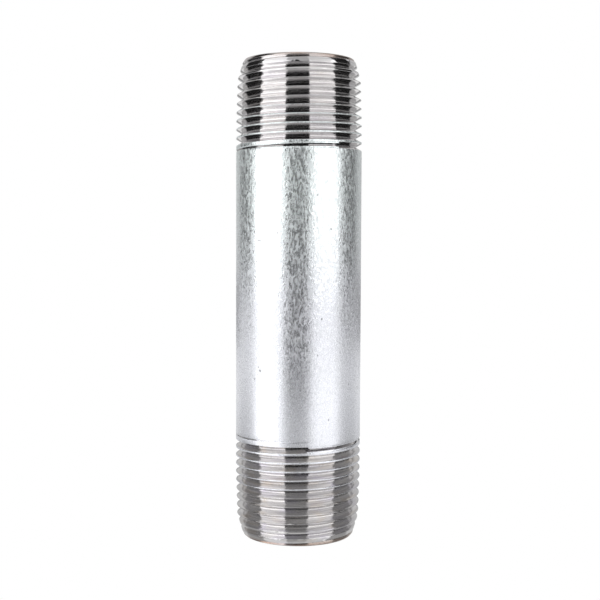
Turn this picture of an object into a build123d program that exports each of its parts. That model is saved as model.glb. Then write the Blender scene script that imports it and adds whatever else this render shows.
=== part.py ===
from build123d import *

import os
from math import atan, cos, degrees, radians, tan

# A hot-dip galvanized pipe nipple: a 4 inch length of 3/4 inch schedule 40 steel pipe with a
# right-hand 14 TPI taper pipe thread on each end. Millimetres. +Z runs along the pipe, and the
# origin is the centre of the lower end face. -Y is the front.

INCH = 25.4

# Pipe and zinc
LENGTH = 4 * INCH
PIPE_RADIUS = 26.67 / 2
WALL = 2.87
ZINC = 0.08

# Taper thread: 14 threads to the inch, 60 degree form, 1 in 16 on the diameter
PITCH = INCH / 14
FLANK_ANGLE = 30.0
THREAD_DEPTH = 0.8 * PITCH
ROOT_FLAT = 0.038 * PITCH
RADIAL_TAPER = 1 / 32
END_PITCH_RADIUS = 24.579 / 2

# Each end: a broken edge beside the flat face, then a lead-in cone that cuts the first crests short
END_FACE_RADIUS = 11.6
EDGE_BREAK_RADIUS = 11.97
EDGE_BREAK_HEIGHT = 0.35
LEAD_IN_SLOPE = 0.3
BORE_CHAMFER = 0.3

# Where each thread starts to run out: the height above its own end face, the direction around the
# pipe, and how many turns the groove takes to come up out of the surface
LOWER_RUNOUT = {"height": 20.21, "azimuth": -115.2, "turns": 1.1}
UPPER_RUNOUT = {"height": 18.48, "azimuth": 25.2, "turns": 0.6}
FULL_TURNS = 12

# The groove cutter reaches this far outside the thread crests
CUTTER_REACH = 0.03

# Direction of the seam line of every revolved face, clear of the places where the grooves end
SEAM_AZIMUTH = 200

# Sizes that follow from those above
bore_radius = PIPE_RADIUS - WALL
zinc_outer_radius = PIPE_RADIUS + ZINC
zinc_bore_radius = bore_radius - ZINC
end_root_radius = END_PITCH_RADIUS - THREAD_DEPTH / 2
end_crest_radius = END_PITCH_RADIUS + THREAD_DEPTH / 2
taper_angle = degrees(atan(RADIAL_TAPER))
full_diameter_height = (PIPE_RADIUS - end_crest_radius) / RADIAL_TAPER
full_zinc_height = (zinc_outer_radius - end_crest_radius) / RADIAL_TAPER
lead_in_start_radius = EDGE_BREAK_RADIUS - EDGE_BREAK_HEIGHT * LEAD_IN_SLOPE
lead_in_height = (end_crest_radius - lead_in_start_radius) / (LEAD_IN_SLOPE - RADIAL_TAPER)
lead_in_radius = end_crest_radius + lead_in_height * RADIAL_TAPER


def root_radius_at(height):
    """Radius of the thread root at a height above the end face."""
    return end_root_radius + height * RADIAL_TAPER


def groove_corners(root_radius, height):
    """The V of the groove as (radius, height) corners, with its root at the given place."""
    top_radius = root_radius + THREAD_DEPTH + CUTTER_REACH
    half_root = ROOT_FLAT / 2
    half_top = half_root + (THREAD_DEPTH + CUTTER_REACH) * tan(radians(FLANK_ANGLE))
    return [
        (root_radius, height - half_root),
        (top_radius, height - half_top),
        (top_radius, height + half_top),
        (root_radius, height + half_root),
    ]


def groove_sides(root_radius, height, turns, cone_angle):
    """Faces around one stretch of the groove, ruled between the helices its corners follow."""
    slant_pitch = PITCH / cos(radians(cone_angle))
    helices = [
        Helix(slant_pitch, turns * PITCH, radius, center=(0, 0, z), cone_angle=cone_angle)
        for radius, z in groove_corners(root_radius, height)
    ]
    neighbours = helices[1:] + helices[:1]
    return [Face.make_surface_from_curves(a, b) for a, b in zip(helices, neighbours)]


def groove_end(root_radius, height, turns):
    """The flat face that closes the groove cutter, that many turns around from +X."""
    outline = Wire.make_polygon([(r, 0, z) for r, z in groove_corners(root_radius, height)])
    return Face(outline).rotate(Axis.Z, 360 * turns)


def groove_cutter(runout):
    """The whole groove of one thread as a solid, measured up from its end face at z = 0."""
    start_height = runout["height"] - FULL_TURNS * PITCH
    end_height = runout["height"] + runout["turns"] * PITCH
    runout_root = root_radius_at(runout["height"])
    runout_angle = degrees(atan((zinc_outer_radius - runout_root) / (runout["turns"] * PITCH)))
    faces = [groove_end(root_radius_at(start_height), start_height, 0)]
    for turn in range(FULL_TURNS):
        height = start_height + turn * PITCH
        faces += groove_sides(root_radius_at(height), height, 1, taper_angle)
    faces += groove_sides(runout_root, runout["height"], runout["turns"], runout_angle)
    faces.append(groove_end(zinc_outer_radius, end_height, runout["turns"]))
    return Solid(Shell(faces)).rotate(Axis.Z, runout["azimuth"])


profile_plane = Plane.XZ.rotated((0, 0, SEAM_AZIMUTH))
end_over_end = Location((0, 0, LENGTH), (180, 0, 0))
groove_cutters = [
    groove_cutter(LOWER_RUNOUT),
    groove_cutter(UPPER_RUNOUT).moved(end_over_end),
]

# The pipe: a tube with tapered ends, an edge break and a lead-in cone on each, then both threads
with BuildPart() as steel_pipe:
    with BuildSketch(profile_plane):
        with BuildLine():
            Polyline(
                (bore_radius + BORE_CHAMFER, 0),
                (END_FACE_RADIUS, 0),
                (EDGE_BREAK_RADIUS, EDGE_BREAK_HEIGHT),
                (lead_in_radius, lead_in_height),
                (PIPE_RADIUS, full_diameter_height),
                (PIPE_RADIUS, LENGTH - full_diameter_height),
                (lead_in_radius, LENGTH - lead_in_height),
                (EDGE_BREAK_RADIUS, LENGTH - EDGE_BREAK_HEIGHT),
                (END_FACE_RADIUS, LENGTH),
                (bore_radius + BORE_CHAMFER, LENGTH),
                (bore_radius, LENGTH - BORE_CHAMFER),
                (bore_radius, BORE_CHAMFER),
                close=True,
            )
        make_face()
    revolve(axis=Axis.Z)
    for cutter in groove_cutters:
        add(cutter, mode=Mode.SUBTRACT)

# The outer zinc: a skin on the barrel, cut by the same threads, so it stays on the flat crests of
# the last turns and thins to nothing where the thread's own taper takes the surface away
with BuildPart() as outer_zinc_coating:
    with BuildSketch(profile_plane):
        with BuildLine():
            Polyline(
                (PIPE_RADIUS, full_diameter_height),
                (zinc_outer_radius, full_zinc_height),
                (zinc_outer_radius, LENGTH - full_zinc_height),
                (PIPE_RADIUS, LENGTH - full_diameter_height),
                close=True,
            )
        make_face()
    revolve(axis=Axis.Z)
    for cutter in groove_cutters:
        add(cutter, mode=Mode.SUBTRACT)

# The inner zinc: a skin on the bore, cut away by the chamfer at each end
with BuildPart() as inner_zinc_coating:
    with BuildSketch(profile_plane):
        with BuildLine():
            Polyline(
                (zinc_bore_radius, BORE_CHAMFER + ZINC),
                (bore_radius, BORE_CHAMFER),
                (bore_radius, LENGTH - BORE_CHAMFER),
                (zinc_bore_radius, LENGTH - BORE_CHAMFER - ZINC),
                close=True,
            )
        make_face()
    revolve(axis=Axis.Z)

steel_pipe.part.label = "steel_pipe"
outer_zinc_coating.part.label = "outer_zinc_coating"
inner_zinc_coating.part.label = "inner_zinc_coating"

os.makedirs("parts", exist_ok=True)
export_step(steel_pipe.part, "parts/steel_pipe.step")
export_step(outer_zinc_coating.part, "parts/outer_zinc_coating.step")
export_step(inner_zinc_coating.part, "parts/inner_zinc_coating.step")
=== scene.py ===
import math

import bpy
import numpy as np
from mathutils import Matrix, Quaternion, Vector


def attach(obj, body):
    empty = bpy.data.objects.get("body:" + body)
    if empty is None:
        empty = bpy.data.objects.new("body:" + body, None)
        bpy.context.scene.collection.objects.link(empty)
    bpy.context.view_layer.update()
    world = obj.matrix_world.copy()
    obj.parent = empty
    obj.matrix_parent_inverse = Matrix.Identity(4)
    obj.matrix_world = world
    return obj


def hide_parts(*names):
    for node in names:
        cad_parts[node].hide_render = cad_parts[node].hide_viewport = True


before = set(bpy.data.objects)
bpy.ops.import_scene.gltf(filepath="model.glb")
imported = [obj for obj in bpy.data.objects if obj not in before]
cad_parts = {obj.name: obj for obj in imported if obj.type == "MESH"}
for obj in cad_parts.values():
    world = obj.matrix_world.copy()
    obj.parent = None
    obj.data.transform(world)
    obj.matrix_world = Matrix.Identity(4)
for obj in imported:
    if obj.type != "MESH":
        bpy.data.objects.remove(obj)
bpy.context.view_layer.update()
scene = bpy.context.scene

# Sizes of the nipple in millimetres, the same as the CAD's
MM = 0.001
INCH = 25.4
LENGTH = 4 * INCH
PIPE_RADIUS = 26.67 / 2
WALL = 2.87
ZINC = 0.08
PITCH = INCH / 14
FLANK_SLOPE = math.tan(math.radians(30))
THREAD_DEPTH = 0.8 * PITCH
ROOT_FLAT = 0.038 * PITCH
RADIAL_TAPER = 1 / 32
END_PITCH_RADIUS = 24.579 / 2
END_FACE_RADIUS = 11.6
EDGE_BREAK_HEIGHT = 0.35
EDGE_BREAK_RADIUS = 11.97
LEAD_IN_SLOPE = 0.3
BORE_CHAMFER = 0.3
LOWER_RUNOUT = {"height": 20.21, "azimuth": -115.2, "turns": 1.1, "seed": 3}
UPPER_RUNOUT = {"height": 18.48, "azimuth": 25.2, "turns": 0.6, "seed": 8}
FULL_TURNS = 12
# Height above the end face at which the threaded part of the mesh ends and the plain barrel starts
THREAD_TOP = 23.2
CLEAR_OF_METAL = 1.0

BORE_RADIUS = PIPE_RADIUS - WALL
ZINC_RADIUS = PIPE_RADIUS + ZINC
ROOT_RADIUS = END_PITCH_RADIUS - THREAD_DEPTH / 2
CREST_RADIUS = END_PITCH_RADIUS + THREAD_DEPTH / 2

# The visual mesh, in millimetres: columns around the pipe, rounding of the crests and roots, and how
# far all of it lies inside the CAD surface
COLUMNS = 228
THETA = np.arange(COLUMNS) * 2 * math.pi / COLUMNS
CREST_ROUNDING = 0.07
ROOT_ROUNDING = 0.05
SKIN_INSET = 0.002
MERGE_DISTANCE = 2e-5
SHARP_ANGLE = math.radians(50)
END_FACE_RIM = 0.03
BARREL_RINGS = 40
# A face of the zinc is kept if one of its corners rises by the first amount above the steel, and every
# point of it stays at least the second amount above the steel
ZINC_FACE_RISE = 0.002
ZINC_POINT_RISE = 0.0005

# Rows of the mesh in one turn of the thread: shares of the root flat and of each flank from root to
# crest, and the widest distance from a crest edge to the row beside it
ROOT_SHARE = 0.9
FLANK_FOOT = 0.06
FLANK_SHARES = (0.5, 0.93)
CREST_EDGE_ROW = 0.04
WIDEST_GROOVE = 0.95 * PITCH / 2
# The distance from a root to its crest edges is found in a few steps from a first guess
FIRST_GROOVE_GUESS = 0.8
GROOVE_STEPS = 6

# Wear of the crests, in millimetres: slow and fine waves along the helix, and the nicks of each thread.
# It fades out towards the end face and towards the barrel
SLOW_WEAR = 0.014
SLOW_WEAR_SHIFT = 0.3
FINE_WEAR = 0.008
SLOW_WAVES = (37.0, 23.0, 9.1, 6.3)
FINE_WAVES = (2.9, 1.7, 1.1, 0.73)
FINE_SEED_STEP = 50
NICKS = 22
NICK_WIDTHS = (0.25, 0.7)
NICK_DEPTHS = (0.02, 0.08)
WEAR_START = 1.0
WEAR_END = THREAD_TOP - 1.0
WEAR_FADE = 1.5

# Colours of the steel: bright, drawn grey, tinted by oil, dull in patches and brown at the cut edge
STEEL_BRIGHT = (0.745, 0.733, 0.730)
STEEL_GREY = (0.56, 0.55, 0.555)
STEEL_TAN = (0.66, 0.57, 0.47)
STEEL_VIOLET = (0.65, 0.625, 0.70)
STEEL_DULL = (0.58, 0.57, 0.58)
STEEL_BROWN = (0.55, 0.43, 0.36)
CUT_EDGE_WIDTHS = (0.9 * MM, 0.1 * MM)

# Colours of the zinc: lower and upper barrel, dull crystals, scratches, specks, and two in the bore
ZINC_LOWER = (0.842, 0.853, 0.908)
ZINC_UPPER = (0.82, 0.875, 0.88)
ZINC_DULL = (0.79, 0.81, 0.83)
ZINC_SCRATCH = (0.66, 0.68, 0.69)
ZINC_SPECK = (0.26, 0.26, 0.27)
BORE_LIGHT = (0.64, 0.65, 0.665)
BORE_DARK = (0.50, 0.51, 0.525)
ZINC_METALLIC = 0.80

# Heights of the relief that bump gives, in metres
LATHE_LINES = 0.0022 * MM
DRAWN_STREAKS = 0.006 * MM
ZINC_RELIEF = 0.052 * MM
BORE_GRAIN = 0.012 * MM
BORE_RUNS = 0.05 * MM

# Anisotropy and its rotation: the thread is blurred across its grooves, the zinc around the pipe
THREAD_BLUR = (0.85, 0.25)
ZINC_BLUR = (0.7, 0.0)
BORE_BLUR = (0.2, 0.25)

# Strengths of the light cards around the pipe
LEFT_SOFTBOX = 2.6
RIGHT_SOFTBOX = 1.9
SOFTBOX_HEAD = 0.5
SOFTBOX_FOOT = 0.5
GAP = 0.004
GAP_ABOVE = 0.62
SIDE_CARD = 0.02
LEFT_SIDE_FOOT = 0.60
RIGHT_SIDE_FOOT = 0.3
BACKDROP = 0.62
BACKDROP_FOOT = 0.30

# Places of the cards: azimuths in degrees, 0 at the front and +90 at the right, the rest in metres
GAP_SPAN = (-27, 21)
LEFT_SOFTBOX_SPAN = (-85, -27)
RIGHT_SOFTBOX_SPAN = (21, 79.5)
LEFT_SIDE_SPAN = (-133, -85)
RIGHT_SIDE_SPAN = (79.5, 128)
BACKDROP_SPAN = (128, 227)
GAP_RADIUS = 0.21
GAP_SPLIT = 0.22
CARD_RADIUS = 0.60
CARD_BOTTOM = -0.3
CARD_FOOT = 0.035
BRIGHT_TOP = 0.48
CARD_TOP = 1.2
BELOW = (CARD_BOTTOM, CARD_FOOT)
MAIN = (CARD_FOOT, BRIGHT_TOP)
ABOVE = (BRIGHT_TOP, CARD_TOP)
WHOLE = (CARD_FOOT, CARD_TOP)
CARD_STEPS = 48

# The floor that the camera sees, and the table that only the metal reflects, whose glow holds a painted
# contact shadow around the pipe's foot
DISC_STEPS = 96
FLOOR_RADIUS = 6
FLOOR_HEIGHT = -0.00002
FLOOR_GLOW = 1.0
TABLE_RADIUS = 0.45
TABLE_HEIGHT = -0.0004
# Painted shadow: the table glows dimmer near the pipe's foot and paler further out
TABLE_GLOW_UNDER_PAINTED_SHADOW = 0.36
TABLE_GLOW_FAR = 0.66
TABLE_PAINTED_SHADOW_REACH = (0.05, 0.26)
TABLE_MIRROR = (0.45, 0.45, 0.45)
TABLE_ROUGHNESS = 0.1

# Camera: a little above the middle of the pipe, close, and turned a hair clockwise
CAMERA = Vector((0.000336, -0.2379, 0.064016))
AIM = Vector((0.000336, 0, 0.05059))
ROLL = math.radians(0.213)
LENS = 66.29
SENSOR = 36
CLIP_START = 0.01


def smooth_min(a, b, width):
    """The smaller of two values, with a round fillet of a given width where they cross."""
    overlap = np.maximum(width - np.abs(a - b), 0) / width
    return np.minimum(a, b) - overlap * overlap * width / 4


def smooth_max(a, b, width):
    return -smooth_min(-a, -b, width)


def envelope(height, outer_radius):
    """Radius of the crests: the blank, cut down by the die, the lead-in cone and the edge break."""
    crest_cone = CREST_RADIUS + height * RADIAL_TAPER
    lead_in = EDGE_BREAK_RADIUS + (height - EDGE_BREAK_HEIGHT) * LEAD_IN_SLOPE
    break_slope = (EDGE_BREAK_RADIUS - END_FACE_RADIUS) / EDGE_BREAK_HEIGHT
    edge_break = END_FACE_RADIUS + height * break_slope
    return np.minimum(np.minimum(crest_cone, outer_radius), np.minimum(lead_in, edge_break))


def first_root_height(runout):
    """Height of the groove's root at turn 0, below the end face."""
    return runout["height"] - FULL_TURNS * PITCH


def turn_share(theta, runout):
    """Angle from the start of the run-out, in turns."""
    return (theta - math.radians(runout["azimuth"])) / (2 * math.pi)


def groove_root(turn, runout):
    """Height and radius of the groove's root at each turn count, clear of the metal past the run-out."""
    height = first_root_height(runout) + turn * PITCH
    root = ROOT_RADIUS + height * RADIAL_TAPER
    end_root = ROOT_RADIUS + runout["height"] * RADIAL_TAPER
    rise = (ZINC_RADIUS - end_root) / runout["turns"]
    root = np.where(turn > FULL_TURNS, end_root + (turn - FULL_TURNS) * rise, root)
    root = np.where(turn > FULL_TURNS + runout["turns"], ZINC_RADIUS + CLEAR_OF_METAL, root)
    return height, root


class WaveNoise:
    """Seeded smooth noise of one variable, made of sine waves."""

    def __init__(self, seed, wavelengths):
        rng = np.random.default_rng(seed)
        self.k = [2 * math.pi / w for w in wavelengths]
        self.phase = rng.uniform(0, 2 * math.pi, len(wavelengths))
        self.size = rng.uniform(0.5, 1.0, len(wavelengths))

    def __call__(self, x):
        total = sum(s * np.sin(k * x + p) for s, k, p in zip(self.size, self.k, self.phase))
        return total / np.sum(self.size)


def crest_wear(turn, runout):
    """How far the crest is worn or torn below its full height, along the helix."""
    rng = np.random.default_rng(runout["seed"])
    along = turn * 2 * math.pi * PIPE_RADIUS
    slow = WaveNoise(runout["seed"], SLOW_WAVES)
    fine = WaveNoise(runout["seed"] + FINE_SEED_STEP, FINE_WAVES)
    wear = SLOW_WEAR * np.maximum(slow(along) + SLOW_WEAR_SHIFT, 0)
    wear = wear + FINE_WEAR * np.maximum(fine(along), 0)
    length = FULL_TURNS * 2 * math.pi * PIPE_RADIUS
    for _ in range(NICKS):
        place = rng.uniform(0, length)
        width = rng.uniform(*NICK_WIDTHS)
        depth = rng.uniform(*NICK_DEPTHS)
        wear = wear + depth * np.exp(-(((along - place) / width) ** 2))
    return wear


def surface(theta, height, runout, outer_radius):
    """Radius of the threaded surface at an angle and a height above its own end face."""
    phase = turn_share(theta, runout)
    turns = (height - first_root_height(runout)) / PITCH
    below = np.floor(turns - phase)
    worn = np.clip((WEAR_END - height) / WEAR_FADE, 0, 1) * np.clip(height / WEAR_START, 0, 1)
    r = envelope(height, outer_radius) - SKIN_INSET - crest_wear(turns, runout) * worn
    for k in (below, below + 1):
        h, root = groove_root(k + phase, runout)
        gap = np.abs(height - h) - ROOT_FLAT / 2
        side = root + smooth_max(gap / FLANK_SLOPE, np.zeros_like(gap), ROOT_ROUNDING)
        r = smooth_min(r, side, CREST_ROUNDING)
    return r


def thread_rows(theta, runout, outer_radius):
    """Heights of the helical mesh rows at each column, and the number of rows in one turn."""
    phase = turn_share(theta, runout)
    rows = []

    def crest_edge(h, root, sign):
        """Distance along the pipe from a root to the crest edge above (1) or below (-1) it."""
        offset = np.full_like(h, FIRST_GROOVE_GUESS)
        for _ in range(GROOVE_STEPS):
            crest = envelope(np.clip(h + sign * offset, 0, THREAD_TOP), outer_radius)
            offset = ROOT_FLAT / 2 + np.maximum(crest - root, 0) * FLANK_SLOPE
        return np.minimum(offset, WIDEST_GROOVE)

    # Two turns more at each end, so that the rows cover the whole height at every column
    first = -2
    last = int(math.ceil((THREAD_TOP - first_root_height(runout)) / PITCH)) + 2
    for k in range(first, last):
        h0, root0 = groove_root(k + phase, runout)
        h1, root1 = groove_root(k + 1 + phase, runout)
        up = crest_edge(h0, root0, 1)
        down = crest_edge(h1, root1, -1)
        a, b = h0 + up, h1 - down
        near = np.minimum(CREST_EDGE_ROW, (b - a) / 3)
        # From one root up a flank, over the crest and down a flank to the next root
        root_side = np.minimum(ROOT_FLAT / 2, up)
        flank = up - root_side
        rows += [h0, h0 + root_side * ROOT_SHARE, h0 + root_side * ROOT_SHARE + flank * FLANK_FOOT]
        rows += [h0 + root_side + flank * share for share in FLANK_SHARES]
        rows += [a, a + near / 2, a + near, (a + b) / 2, b - near, b - near / 2, b]
        root_side = np.minimum(ROOT_FLAT / 2, down)
        flank = down - root_side
        rows += [h1 - root_side - flank * share for share in (*reversed(FLANK_SHARES), FLANK_FOOT)]
        rows.append(h1 - root_side * ROOT_SHARE)
    return np.array(rows), len(rows) // (last - first)


def grid_faces(rows, per_turn):
    """Quads of a helical grid whose last column joins its first one turn further on."""
    faces = []
    for j in range(rows - 1):
        base, top = j * COLUMNS, (j + 1) * COLUMNS
        faces += [(base + i, base + i + 1, top + i + 1, top + i) for i in range(COLUMNS - 1)]
        next_base = min(j + per_turn, rows - 1) * COLUMNS
        next_top = min(j + 1 + per_turn, rows - 1) * COLUMNS
        faces.append((base + COLUMNS - 1, next_base, next_top, top + COLUMNS - 1))
    return faces


def ring_faces(rows):
    """Quads of plain rings, one above the other."""
    faces = []
    for j in range(rows - 1):
        base, top = j * COLUMNS, (j + 1) * COLUMNS
        for i in range(COLUMNS):
            n = (i + 1) % COLUMNS
            faces.append((base + i, base + n, top + n, top + i))
    return faces


def clean_mesh(name, parts):
    """One mesh from (vertices, faces) parts, with shared points merged and empty faces left out."""
    offset, all_verts, all_faces = 0, [], []
    for verts, faces in parts:
        all_verts.append(verts)
        all_faces.append(np.array(faces) + offset)
        offset += len(verts)
    verts = np.concatenate(all_verts)
    faces = np.concatenate(all_faces)
    keys = np.round(verts / MERGE_DISTANCE).astype(np.int64)
    _, index, inverse = np.unique(keys, axis=0, return_index=True, return_inverse=True)
    inverse = inverse.ravel()
    verts = verts[index]
    faces = inverse[faces]
    shown = []
    for face in faces.tolist():
        loop = [v for n, v in enumerate(face) if v != face[n - 1]]
        if len(set(loop)) == len(loop) and len(loop) >= 3:
            shown.append(loop)
    mesh = bpy.data.meshes.new(name)
    mesh.from_pydata((verts * MM).tolist(), [], shown)
    mesh.validate()
    mesh.polygons.foreach_set("use_smooth", [True] * len(mesh.polygons))
    mesh.set_sharp_from_angle(angle=SHARP_ANGLE)
    mesh.update()
    return mesh


def cylinder_points(theta, r, z):
    """A plain list of points from arrays of cylindrical coordinates."""
    theta, r, z = np.broadcast_arrays(theta, r, z)
    return np.stack([r * np.cos(theta), r * np.sin(theta), z], axis=-1).reshape(-1, 3)


def end_part(runout, outer_radius):
    """Points, faces and radii of one threaded end in its own frame, from the end face to THREAD_TOP."""
    rows, per_turn = thread_rows(THETA, runout, outer_radius)
    z = np.clip(rows, 0, THREAD_TOP)
    r = surface(THETA[None, :], z, runout, outer_radius)
    return cylinder_points(THETA[None, :], r, z), grid_faces(len(rows), per_turn), r


def upright(points):
    """Points of the lower end, which stay where they are."""
    return points


def turned_over(points):
    """Points of the lower end moved to the upper end, by half a turn about the X direction."""
    return points * np.array([1.0, -1.0, -1.0]) + np.array([0, 0, LENGTH])


ENDS = ((upright, LOWER_RUNOUT), (turned_over, UPPER_RUNOUT))


def steel_mesh():
    """The pipe: both threaded ends with their end faces, the bore and the bare barrel under the zinc."""
    parts = []
    lip = BORE_RADIUS + BORE_CHAMFER
    inside = [
        (BORE_RADIUS, LENGTH / 2),
        (BORE_RADIUS, BORE_CHAMFER),
        (lip, 0.0),
        (lip + END_FACE_RIM, 0.0),
    ]
    for place, runout in ENDS:
        points, faces, _ = end_part(runout, PIPE_RADIUS)
        parts.append((place(points), faces))
        rim = surface(THETA, np.zeros(COLUMNS), runout, PIPE_RADIUS)
        rings = [cylinder_points(THETA, ring_r, z) for ring_r, z in inside]
        rings += [cylinder_points(THETA, ring_r, 0.0) for ring_r in (rim - END_FACE_RIM, rim)]
        parts.append((place(np.concatenate(rings)), ring_faces(len(rings))))
    top = surface(THETA, np.full(COLUMNS, THREAD_TOP), LOWER_RUNOUT, PIPE_RADIUS)
    rings = [cylinder_points(THETA, top, z) for z in (THREAD_TOP, LENGTH - THREAD_TOP)]
    parts.append((np.concatenate(rings), ring_faces(2)))
    return clean_mesh("steel_pipe_visual", parts)


def zinc_mesh():
    """The outer zinc: the barrel and the ribbon on the last crests, wherever it is proud of the steel."""
    parts = []
    for place, runout in ENDS:
        points, faces, r = end_part(runout, ZINC_RADIUS)
        r = r.ravel()
        kept = [face for face in faces if max(r[v] for v in face) > PIPE_RADIUS + ZINC_FACE_RISE]
        raised = np.maximum(r, PIPE_RADIUS + ZINC_POINT_RISE)
        scale = (raised / r)[:, None] * np.array([1, 1, 0]) + np.array([0, 0, 1])
        parts.append((place(points * scale), kept))
    top = surface(THETA, np.full(COLUMNS, THREAD_TOP), LOWER_RUNOUT, ZINC_RADIUS)
    heights = np.linspace(THREAD_TOP, LENGTH - THREAD_TOP, BARREL_RINGS)
    rings = [cylinder_points(THETA, top, z) for z in heights]
    parts.append((np.concatenate(rings), ring_faces(len(rings))))
    return clean_mesh("outer_zinc_visual", parts)


def add_object(name, mesh):
    """A mesh object in the scene."""
    obj = bpy.data.objects.new(name, mesh)
    scene.collection.objects.link(obj)
    return obj


class Graph:
    """A metal material in object coordinates, and short ways to add nodes to it."""

    def __init__(self, name):
        self.material = bpy.data.materials.new(name)
        self.material.use_nodes = True
        self.nodes = self.material.node_tree.nodes
        self.links = self.material.node_tree.links
        self.shader = self.nodes["Principled BSDF"]
        self.shader.inputs["Metallic"].default_value = 1
        self.place = self.nodes.new("ShaderNodeTexCoord").outputs["Object"]

    def put(self, socket, value):
        """Set a socket, or link it if the value is another node's output."""
        if isinstance(value, bpy.types.NodeSocket):
            self.links.new(value, socket)
        else:
            socket.default_value = value

    def math(self, operation, a, b=0.0, clamp=False):
        """A math node of one or two values."""
        node = self.nodes.new("ShaderNodeMath")
        node.operation = operation
        node.use_clamp = clamp
        self.put(node.inputs[0], a)
        self.put(node.inputs[1], b)
        return node.outputs[0]

    def scaled(self, scale, turn=0.0):
        """Position times a scale on each axis, per metre, turned about Y by an angle in degrees."""
        node = self.nodes.new("ShaderNodeMapping")
        node.vector_type = "POINT"
        turned = self.nodes.new("ShaderNodeMapping")
        self.put(turned.inputs["Rotation"], (0, math.radians(turn), 0))
        self.links.new(self.place, turned.inputs["Vector"])
        self.links.new(turned.outputs[0], node.inputs["Vector"])
        self.put(node.inputs["Scale"], scale)
        return node.outputs[0]

    def noise(self, vector, detail=2.0, rough=0.5, distortion=0.0):
        """Smooth noise with a mean of about one half."""
        node = self.nodes.new("ShaderNodeTexNoise")
        self.links.new(vector, node.inputs["Vector"])
        self.put(node.inputs["Scale"], 1.0)
        self.put(node.inputs["Detail"], detail)
        self.put(node.inputs["Roughness"], rough)
        self.put(node.inputs["Distortion"], distortion)
        return node.outputs["Fac"]

    def fade(self, value, start, end, low=0.0, high=1.0):
        """Value mapped from start..end to low..high, clamped and smooth."""
        node = self.nodes.new("ShaderNodeMapRange")
        node.interpolation_type = "SMOOTHSTEP"
        for socket, number in zip(node.inputs[:5], (value, start, end, low, high)):
            self.put(socket, number)
        return node.outputs[0]

    def mix(self, share, a, b):
        """Colour a with a share of colour b."""
        node = self.nodes.new("ShaderNodeMix")
        node.data_type = "RGBA"
        self.put(node.inputs[0], share)
        self.put(node.inputs[6], a if isinstance(a, bpy.types.NodeSocket) else (*a, 1))
        self.put(node.inputs[7], b if isinstance(b, bpy.types.NodeSocket) else (*b, 1))
        return node.outputs[2]

    def xyz(self):
        """The three coordinates, in metres."""
        node = self.nodes.new("ShaderNodeSeparateXYZ")
        self.links.new(self.place, node.inputs[0])
        return node.outputs

    def axis_distance(self):
        """Distance from the pipe axis, in metres."""
        x, y, _ = self.xyz()
        squares = self.math("ADD", self.math("MULTIPLY", x, x), self.math("MULTIPLY", y, y))
        return self.math("SQRT", squares)

    def bump(self, height, distance, normal=None):
        """A normal tilted by relief, on top of another one."""
        node = self.nodes.new("ShaderNodeBump")
        self.put(node.inputs["Height"], height)
        self.put(node.inputs["Distance"], distance)
        if normal is not None:
            self.links.new(normal, node.inputs["Normal"])
        return node.outputs[0]

    def finish(self, colour, roughness, normal, anisotropic, rotation):
        """Connect the metal shader, and give its material."""
        for name, value in (
            ("Base Color", colour),
            ("Roughness", roughness),
            ("Normal", normal),
            ("Anisotropic", anisotropic),
            ("Anisotropic Rotation", rotation),
        ):
            self.put(self.shader.inputs[name], value)
        return self.material


def lathe_place(graph, around, across):
    """Coordinates that change slowly around the pipe, and fast along it and outwards."""
    x, y, z = graph.xyz()
    outwards = graph.math("MULTIPLY", graph.axis_distance(), across)
    node = graph.nodes.new("ShaderNodeCombineXYZ")
    graph.put(node.inputs[0], graph.math("ADD", outwards, graph.math("MULTIPLY", x, around)))
    graph.put(node.inputs[1], graph.math("MULTIPLY", y, around))
    graph.put(node.inputs[2], graph.math("MULTIPLY", z, across))
    return node.outputs[0]


def steel_material():
    """Bright die-cut thread: fine lathe lines, grey drawn streaks, oil tints and a brown cut edge."""
    g = Graph("bare_steel")
    z = g.xyz()[2]
    streaks = g.noise(lathe_place(g, 60, 2300), 3.0, 0.6)
    fine = g.noise(lathe_place(g, 220, 7000), 2.0, 0.6)
    patches = g.noise(g.scaled((95, 95, 300)), 2.0, 0.55)
    oil = g.noise(g.scaled((150, 150, 1100)), 2.0, 0.5, 0.6)
    nearest_end = g.math("MINIMUM", z, g.math("SUBTRACT", LENGTH * MM, z))
    colour = g.mix(g.fade(streaks, 0.38, 0.66), STEEL_BRIGHT, STEEL_GREY)
    lower = g.fade(z, 0.03, 0.015)
    tan_share = g.math("ADD", g.math("MULTIPLY", lower, 0.22), 0.10)
    tan = g.math("MULTIPLY", g.fade(oil, 0.56, 0.70), tan_share)
    colour = g.mix(tan, colour, STEEL_TAN)
    violet_share = g.math("ADD", g.math("MULTIPLY", lower, 0.3), 0.15)
    violet = g.math("MULTIPLY", g.fade(oil, 0.46, 0.34), violet_share)
    colour = g.mix(violet, colour, STEEL_VIOLET)
    colour = g.mix(g.math("MULTIPLY", g.fade(patches, 0.5, 0.7), 0.35), colour, STEEL_DULL)
    edge_band = g.fade(nearest_end, *CUT_EDGE_WIDTHS)
    edge = g.math("MULTIPLY", edge_band, g.fade(patches, 0.30, 0.55, 0.35, 0.9))
    colour = g.mix(edge, colour, STEEL_BROWN)
    rough = g.math("ADD", g.fade(fine, 0.35, 0.7, 0.085, 0.145), g.math("MULTIPLY", edge, 0.18))
    normal = g.bump(fine, LATHE_LINES, g.bump(streaks, DRAWN_STREAKS))
    return g.finish(colour, rough, normal, *THREAD_BLUR)


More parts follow.
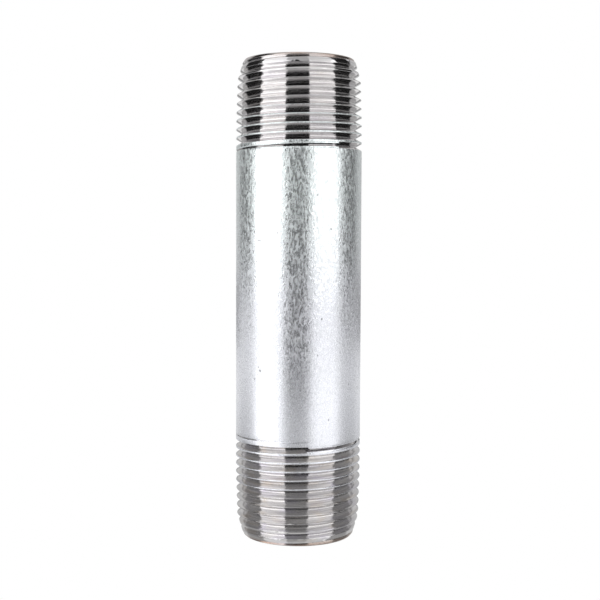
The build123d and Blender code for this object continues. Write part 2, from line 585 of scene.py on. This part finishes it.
def zinc_material():
    """Hot-dip zinc: bright and frosted crystals, short scratches, a few specks, smoother lower down."""
    g = Graph("outer_zinc")
    g.put(g.shader.inputs["Metallic"], ZINC_METALLIC)
    z = g.xyz()[2]
    grain = g.noise(g.scaled((900, 900, 560)), 1.5, 0.45, 2.0)
    strokes = g.noise(g.scaled((2250, 2250, 850)), 4.0, 0.66, 0.9)
    dimples = g.noise(g.scaled((2400, 2400, 2400)), 2.0, 0.6)
    crystals = g.noise(g.scaled((330, 330, 260)), 3.0, 0.55)
    worn = g.noise(g.scaled((120, 120, 60)), 2.0, 0.5)
    level = g.fade(g.noise(g.scaled((700, 700, 9000)), 1.0, 0.4), 0.655, 0.70)
    slant = g.fade(g.noise(g.scaled((900, 900, 8500), 31), 1.0, 0.4), 0.67, 0.72)
    steep = g.fade(g.noise(g.scaled((950, 950, 8000), -54), 1.0, 0.4), 0.68, 0.73)
    scratches = g.math("ADD", g.math("ADD", level, slant), steep, clamp=True)
    specks = g.fade(g.noise(g.scaled((1150, 1150, 1300)), 0.0), 0.835, 0.86)
    colour = g.mix(g.fade(z, 0.045, 0.075), ZINC_LOWER, ZINC_UPPER)
    colour = g.mix(g.fade(crystals, 0.35, 0.75, 0.0, 0.4), colour, ZINC_DULL)
    colour = g.mix(g.math("MULTIPLY", scratches, 0.10), colour, ZINC_SCRATCH)
    colour = g.mix(g.math("MULTIPLY", specks, 0.7), colour, ZINC_SPECK)
    bright_crystal = g.fade(z, 0.026, 0.05, 0.23, 0.15)
    frosted_crystal = g.fade(z, 0.026, 0.05, 0.29, 0.44)
    rough = g.fade(strokes, 0.36, 0.68, bright_crystal, frosted_crystal)
    rough = g.math("ADD", rough, g.math("MULTIPLY", scratches, 0.05))
    height = g.math("ADD", grain, g.math("MULTIPLY", dimples, 0.10))
    height = g.math("MULTIPLY", height, g.fade(worn, 0.35, 0.65, 0.8, 1.15))
    height = g.math("MULTIPLY", height, g.fade(z, 0.026, 0.058, 0.25, 1.0))
    height = g.math("SUBTRACT", height, g.math("MULTIPLY", scratches, 0.06))
    height = g.math("SUBTRACT", height, g.math("MULTIPLY", specks, 0.5))
    return g.finish(colour, rough, g.bump(height, ZINC_RELIEF), *ZINC_BLUR)


def inner_zinc_material():
    """Zinc drained down the bore: duller, with long soft runs along the pipe."""
    g = Graph("inner_zinc")
    runs = g.noise(g.scaled((900, 900, 60)), 3.0, 0.6, 0.5)
    grain = g.noise(g.scaled((1400, 1400, 1400)), 2.0, 0.6)
    colour = g.mix(g.fade(runs, 0.35, 0.7), BORE_LIGHT, BORE_DARK)
    rough = g.fade(grain, 0.3, 0.7, 0.32, 0.46)
    normal = g.bump(grain, BORE_GRAIN, g.bump(runs, BORE_RUNS))
    return g.finish(colour, rough, normal, *BORE_BLUR)


def emission_material(name, strength):
    """A plain white glow."""
    material = bpy.data.materials.new(name)
    material.use_nodes = True
    nodes = material.node_tree.nodes
    nodes.clear()
    emission = nodes.new("ShaderNodeEmission")
    emission.inputs["Strength"].default_value = strength
    output = nodes.new("ShaderNodeOutputMaterial")
    material.node_tree.links.new(emission.outputs[0], output.inputs[0])
    return material


def table_material():
    """The table as the pipe sees it: glossy, pale further out, with a painted contact shadow dimming its
    glow around the foot.
    """
    g = Graph("table")
    # Painted contact shadow: the glow is dim at the pipe's foot and rises with distance from the axis
    glow = g.fade(g.axis_distance(), *TABLE_PAINTED_SHADOW_REACH, TABLE_GLOW_UNDER_PAINTED_SHADOW, TABLE_GLOW_FAR)
    material, nodes, links = g.material, g.nodes, g.links
    nodes.remove(g.shader)
    emission = nodes.new("ShaderNodeEmission")
    g.put(emission.inputs["Strength"], glow)
    gloss = nodes.new("ShaderNodeBsdfGlossy")
    gloss.inputs["Color"].default_value = (*TABLE_MIRROR, 1)
    gloss.inputs["Roughness"].default_value = TABLE_ROUGHNESS
    both = nodes.new("ShaderNodeAddShader")
    output = nodes["Material Output"]
    links.new(emission.outputs[0], both.inputs[0])
    links.new(gloss.outputs[0], both.inputs[1])
    links.new(both.outputs[0], output.inputs[0])
    return material


def arc_card(name, azimuths, heights, radius, strength):
    """A curved light card around the pipe axis, which the camera doesn't see."""
    verts = []
    for i in range(CARD_STEPS + 1):
        azimuth = math.radians(azimuths[0] + (azimuths[1] - azimuths[0]) * i / CARD_STEPS)
        verts += [(radius * math.sin(azimuth), -radius * math.cos(azimuth), z) for z in heights]
    faces = [(2 * i, 2 * i + 1, 2 * i + 3, 2 * i + 2) for i in range(CARD_STEPS)]
    mesh = bpy.data.meshes.new(name)
    mesh.from_pydata(verts, [], faces)
    mesh.materials.append(emission_material(name, strength))
    card = add_object(name, mesh)
    card.visible_camera = False
    card.visible_shadow = False


def disc(name, radius, z, material):
    """A level round plate on the pipe axis."""
    turns = [2 * math.pi * i / DISC_STEPS for i in range(DISC_STEPS)]
    verts = [(radius * math.cos(t), radius * math.sin(t), z) for t in turns]
    mesh = bpy.data.meshes.new(name)
    mesh.from_pydata(verts, [], [tuple(range(DISC_STEPS))])
    mesh.materials.append(material)
    obj = add_object(name, mesh)
    return obj


# The nipple: threaded pipe, outer zinc and the CAD's own inner zinc
pipe = add_object("threaded_pipe", steel_mesh())
pipe.data.materials.append(steel_material())
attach(pipe, "root")
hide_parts("steel_pipe")

coat = add_object("zinc_coat", zinc_mesh())
coat.data.materials.append(zinc_material())
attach(coat, "root")
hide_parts("outer_zinc_coating")

inner_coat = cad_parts["inner_zinc_coating"]
inner_coat.data.materials.clear()
inner_coat.data.materials.append(inner_zinc_material())

# Studio: two tall softboxes with a dark gap between them, dark cards at the sides and a backdrop
arc_card("gap_card", GAP_SPAN, (0, GAP_SPLIT), GAP_RADIUS, GAP)
arc_card("gap_card_above", GAP_SPAN, (GAP_SPLIT, CARD_TOP), GAP_RADIUS, GAP_ABOVE)
for side, span, strength in (
    ("left", LEFT_SOFTBOX_SPAN, LEFT_SOFTBOX),
    ("right", RIGHT_SOFTBOX_SPAN, RIGHT_SOFTBOX),
):
    arc_card(side + "_softbox", span, MAIN, CARD_RADIUS, strength)
    arc_card(side + "_softbox_foot", span, BELOW, CARD_RADIUS, strength * SOFTBOX_FOOT)
    arc_card(side + "_softbox_head", span, ABOVE, CARD_RADIUS, strength * SOFTBOX_HEAD)
arc_card("left_dark_card", LEFT_SIDE_SPAN, WHOLE, CARD_RADIUS, SIDE_CARD)
arc_card("right_dark_card", RIGHT_SIDE_SPAN, WHOLE, CARD_RADIUS, SIDE_CARD)
arc_card("left_side_foot", LEFT_SIDE_SPAN, BELOW, CARD_RADIUS, LEFT_SIDE_FOOT)
arc_card("right_side_foot", RIGHT_SIDE_SPAN, BELOW, CARD_RADIUS, RIGHT_SIDE_FOOT)
arc_card("backdrop", BACKDROP_SPAN, WHOLE, CARD_RADIUS, BACKDROP)
arc_card("backdrop_foot", BACKDROP_SPAN, BELOW, CARD_RADIUS, BACKDROP_FOOT)

# The floor that the camera sees is plain and pale, and the one that the metal reflects is a glossy
# glowing table with a painted shadow around the pipe's foot
seen = disc("floor", FLOOR_RADIUS, FLOOR_HEIGHT, emission_material("floor", FLOOR_GLOW))
seen.visible_glossy = False
seen.visible_diffuse = False
mirrored = disc("floor_reflected", TABLE_RADIUS, TABLE_HEIGHT, table_material())
mirrored.visible_camera = False

world = bpy.data.worlds.new("studio")
world.use_nodes = True
background = world.node_tree.nodes["Background"]
background.inputs["Color"].default_value = (1, 1, 1, 1)
background.inputs["Strength"].default_value = 1.0
scene.world = world
scene.view_settings.view_transform = "Standard"

camera_data = bpy.data.cameras.new("camera")
camera_data.lens = LENS
camera_data.sensor_width = SENSOR
camera_data.clip_start = CLIP_START
camera = bpy.data.objects.new("camera", camera_data)
scene.collection.objects.link(camera)
camera.location = CAMERA
camera.rotation_mode = "QUATERNION"
camera.rotation_quaternion = (AIM - CAMERA).to_track_quat("-Z", "Y") @ Quaternion((0, 0, 1), ROLL)
scene.camera = camera
